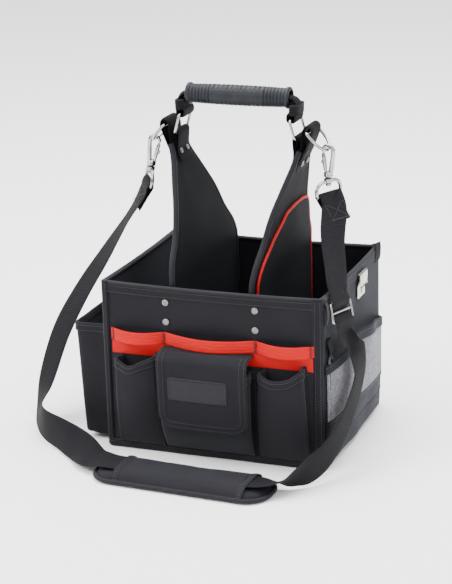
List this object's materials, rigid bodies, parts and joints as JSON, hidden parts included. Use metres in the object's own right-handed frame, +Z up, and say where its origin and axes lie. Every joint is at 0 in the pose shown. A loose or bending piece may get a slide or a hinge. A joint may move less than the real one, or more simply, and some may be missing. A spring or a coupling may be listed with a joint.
{
  "type": "open tool carrier bag",
  "caption": "Open-top fabric tool carrier with two leaning dividers that hold a rubber grip, outside pockets, tool loops and a clip-on shoulder strap.",
  "frame": {"origin": "centre of the flat underside that the bag stands on", "axes": "+X along the long side towards the mesh pocket, +Y from the flap pocket to the back, +Z up"},
  "size_m": [0.435, 0.3727, 0.4342],
  "materials": {
    "black_fabric": "coated polyester weave",
    "black_webbing": "ribbed polyester webbing",
    "red_webbing": "red polyester webbing",
    "grey_mesh": "open knitted mesh",
    "grip_rubber": "moulded, matt",
    "badge_rubber": "moulded soft patch",
    "nickel": "bright nickel plate",
    "black_plastic": "moulded nylon"
  },
  "bodies": {
    "bag_body": {"base_panel": "black_fabric", "front_wall": "black_fabric", "rear_wall": "black_fabric", "left_wall": "black_fabric", "right_wall": "black_fabric", "rim_binding": "black_fabric", "left_divider": "black_fabric", "right_divider": "black_fabric", "left_divider_pocket": "black_fabric", "right_divider_pocket": "black_fabric", "left_ring_tab": "black_webbing", "right_ring_tab": "black_webbing", "left_tab_rivet_1": "nickel", "left_tab_rivet_2": "nickel", "right_tab_rivet_1": "nickel", "right_tab_rivet_2": "nickel", "left_dee_loop": "black_webbing", "right_dee_loop": "black_webbing", "left_bail": "nickel", "right_bail": "nickel", "front_rivet_1": "nickel", "front_rivet_2": "nickel", "front_rivet_3": "nickel", "front_rivet_4": "nickel", "rear_rivet_1": "nickel", "rear_rivet_2": "nickel", "rear_rivet_3": "nickel", "rear_rivet_4": "nickel", "pocket_lining": "red_webbing", "front_pocket_left": "black_fabric", "front_pocket_centre": "black_fabric", "front_pocket_right": "black_fabric", "left_side_pocket": "black_fabric", "mesh_pocket": "grey_mesh", "rear_pocket": "black_fabric", "tool_loop_webbing": "red_webbing", "flap_seam": "black_fabric", "tape_clip_plate": "nickel", "key_clip_tab": "black_webbing", "strap_left": "black_webbing", "strap_right": "black_webbing", "strap_upper_loop": "black_webbing", "strap_slider": "nickel", "shoulder_pad": "black_fabric"},
    "flap_root": {"flap_root": "black_fabric"},
    "pocket_flap": {"pocket_flap": "black_fabric", "flap_badge": "badge_rubber"},
    "left_ring": {"left_ring": "nickel"},
    "right_ring": {"right_ring": "nickel"},
    "handle": {"handle_webbing": "black_webbing"},
    "grip": {"grip": "grip_rubber"},
    "left_dee": {"left_dee": "nickel"},
    "right_dee": {"right_dee": "nickel"},
    "left_hook": {"left_hook": "nickel"},
    "right_hook": {"right_hook": "nickel"},
    "left_gate": {"left_gate": "nickel"},
    "right_gate": {"right_gate": "nickel"},
    "tape_strap": {"tape_strap": "black_webbing"},
    "key_clip": {"key_clip": "black_plastic"}
  },
  "joints": [
    {"name": "flap_lift", "type": "hinge", "parent": "bag_body", "child": "flap_root", "pos_m": [-0.002, -0.1345, 0.1372], "axis": [-1, 0, 0], "range_deg": [0, 85]},
    {"name": "flap_fold", "type": "hinge", "parent": "flap_root", "child": "pocket_flap", "pos_m": [-0.002, -0.1469, 0.1248], "axis": [-1, 0, 0], "range_deg": [0, 85]},
    {"name": "left_ring_swing", "type": "hinge", "parent": "bag_body", "child": "left_ring", "pos_m": [-0.0765, 0, 0.374], "axis": [0, 1, 0], "range_deg": [-10, 10]},
    {"name": "handle_pivot", "type": "hinge", "parent": "left_ring", "child": "handle", "pos_m": [-0.07, 0, 0.398], "axis": [0, 1, 0], "range_deg": [-12, 12]},
    {"name": "right_ring_swing", "type": "hinge", "parent": "bag_body", "child": "right_ring", "pos_m": [0.0765, 0, 0.374], "axis": [0, 1, 0], "range_deg": [-10, 10]},
    {"name": "grip_spin", "type": "hinge", "parent": "handle", "child": "grip", "pos_m": [0, 0, 0.421], "axis": [1, 0, 0], "continuous": true},
    {"name": "left_dee_swing", "type": "hinge", "parent": "bag_body", "child": "left_dee", "pos_m": [-0.0905, 0, 0.384], "axis": [0, 1, 0], "range_deg": [-3, 1]},
    {"name": "right_dee_swing", "type": "hinge", "parent": "bag_body", "child": "right_dee", "pos_m": [0.0905, 0, 0.384], "axis": [0, 1, 0], "range_deg": [-1, 3]},
    {"name": "left_hook_swivel", "type": "hinge", "parent": "bag_body", "child": "left_hook", "pos_m": [-0.111, 0, 0.361], "axis": [0.1908, 0, 0.9816], "range_deg": [-20, 20]},
    {"name": "right_hook_swivel", "type": "hinge", "parent": "bag_body", "child": "right_hook", "pos_m": [0.111, 0, 0.361], "axis": [0, 0, 1], "range_deg": [-20, 20]},
    {"name": "left_gate_hinge", "type": "hinge", "parent": "left_hook", "child": "left_gate", "pos_m": [-0.11239, 0, 0.33601], "axis": [0, -1, 0], "range_deg": [0, 18], "stiffness_Nm_per_rad": 0.01, "springref_deg": -22.92},
    {"name": "right_gate_hinge", "type": "hinge", "parent": "right_hook", "child": "right_gate", "pos_m": [0.1076, 0, 0.3362], "axis": [0, 1, 0], "range_deg": [0, 18], "stiffness_Nm_per_rad": 0.01, "springref_deg": -22.92},
    {"name": "tape_strap_swing", "type": "hinge", "parent": "bag_body", "child": "tape_strap", "pos_m": [0.116, 0.1195, 0.19], "axis": [1, 0, 0], "range_deg": [0, 80]},
    {"name": "key_clip_swing", "type": "hinge", "parent": "bag_body", "child": "key_clip", "pos_m": [0.1432, -0.101, 0.1425], "axis": [0, -1, 0], "range_deg": [0, 40]}
  ],
  "couplings": [
    {"joint": "flap_fold", "follows": "flap_lift", "ratio": 1},
    {"joint": "handle_pivot", "follows": "left_ring_swing", "ratio": -1.0929},
    {"joint": "right_ring_swing", "follows": "left_ring_swing", "ratio": 1}
  ]
}
